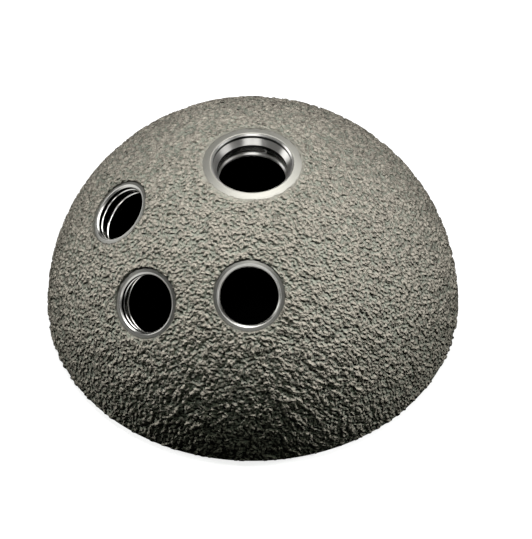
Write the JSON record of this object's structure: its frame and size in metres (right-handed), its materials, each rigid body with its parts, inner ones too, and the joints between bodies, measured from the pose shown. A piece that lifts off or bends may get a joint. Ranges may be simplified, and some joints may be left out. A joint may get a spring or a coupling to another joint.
{
  "type": "acetabular shell",
  "caption": "Hemispherical metal socket shell with a rough sprayed coat outside, a polished bowl with a taper mouth inside, and round holes through its wall for a fixing tool and bone screws.",
  "frame": {"origin": "centre of the rim plane, which is also the centre of the outer sphere", "axes": "+Z through the pole, out of the dome; -Y towards the screw hole in the middle of the cluster; +X completes a right-handed frame"},
  "size_m": [0.054, 0.054, 0.0263],
  "materials": {
    "titanium": "rough sprayed titanium outside, bare turned titanium on the hole lands, bores and rim, polished bowl"
  },
  "bodies": {
    "root": {"shell": "titanium"}
  },
  "joints": []
}
